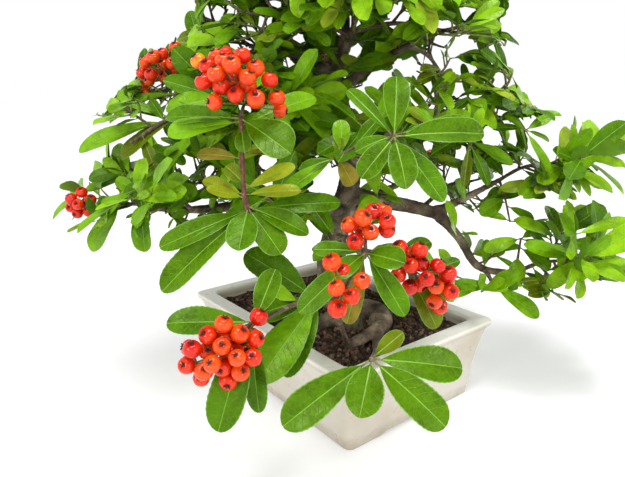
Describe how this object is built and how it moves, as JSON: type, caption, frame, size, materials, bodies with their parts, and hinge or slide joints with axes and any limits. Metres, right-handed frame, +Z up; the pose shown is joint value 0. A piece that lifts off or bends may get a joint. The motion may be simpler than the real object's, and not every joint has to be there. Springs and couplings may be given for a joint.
{
  "type": "firethorn bonsai shrub in a pot",
  "caption": "Small evergreen berry shrub trained as a bonsai, with a bent trunk, spreading boughs, leaf sprays and red fruit heads, planted in a shallow rectangular glazed pot.",
  "frame": {"origin": "centre of the flat underside of the pot", "axes": "+Z up along the trunk, +X across the short side of the pot, +Y along its long side"},
  "size_m": [0.3692, 0.3696, 0.3575],
  "materials": {
    "glaze": "gloss",
    "soil": "matte",
    "bark": "matte",
    "foliage": "satin"
  },
  "bodies": {
    "root": {"pot": "glaze", "soil": "soil", "trunk": "bark", "left_bough": "bark", "left_rising_bough": "bark", "high_left_bough": "bark", "right_bough": "bark", "right_drooping_bough": "bark", "right_outer_bough": "bark", "right_rising_bough": "bark", "high_right_bough": "bark", "front_left_bough": "bark", "front_right_bough": "bark", "front_rising_bough": "bark", "high_front_bough": "bark", "back_left_bough": "bark", "back_bough": "bark", "back_right_bough": "bark", "high_back_bough": "bark", "front_low_spray": "foliage", "front_whorl": "foliage", "front_fruit_spray": "foliage", "front_fruit_twig": "foliage", "front_left_shoot": "foliage", "front_right_whorl": "foliage", "left_tip": "foliage", "left_front": "foliage", "left_back": "foliage", "left_inner": "foliage", "left_fruit_spray": "foliage", "left_point": "foliage", "high_left": "foliage", "high_left_back": "foliage", "inner_left_front": "foliage", "top": "foliage", "top_left": "foliage", "top_right": "foliage", "top_front": "foliage", "top_back": "foliage", "upper_front_left": "foliage", "upper_front_right": "foliage", "high_right": "foliage", "right_upper": "foliage", "right_inner": "foliage", "right_tip": "foliage", "right_low_tip": "foliage", "right_hanging": "foliage", "right_back": "foliage", "right_back_upper": "foliage", "back_left_low": "foliage", "back_low": "foliage", "back_right_low": "foliage", "back_left_upper": "foliage", "back_upper": "foliage"}
  },
  "joints": []
}
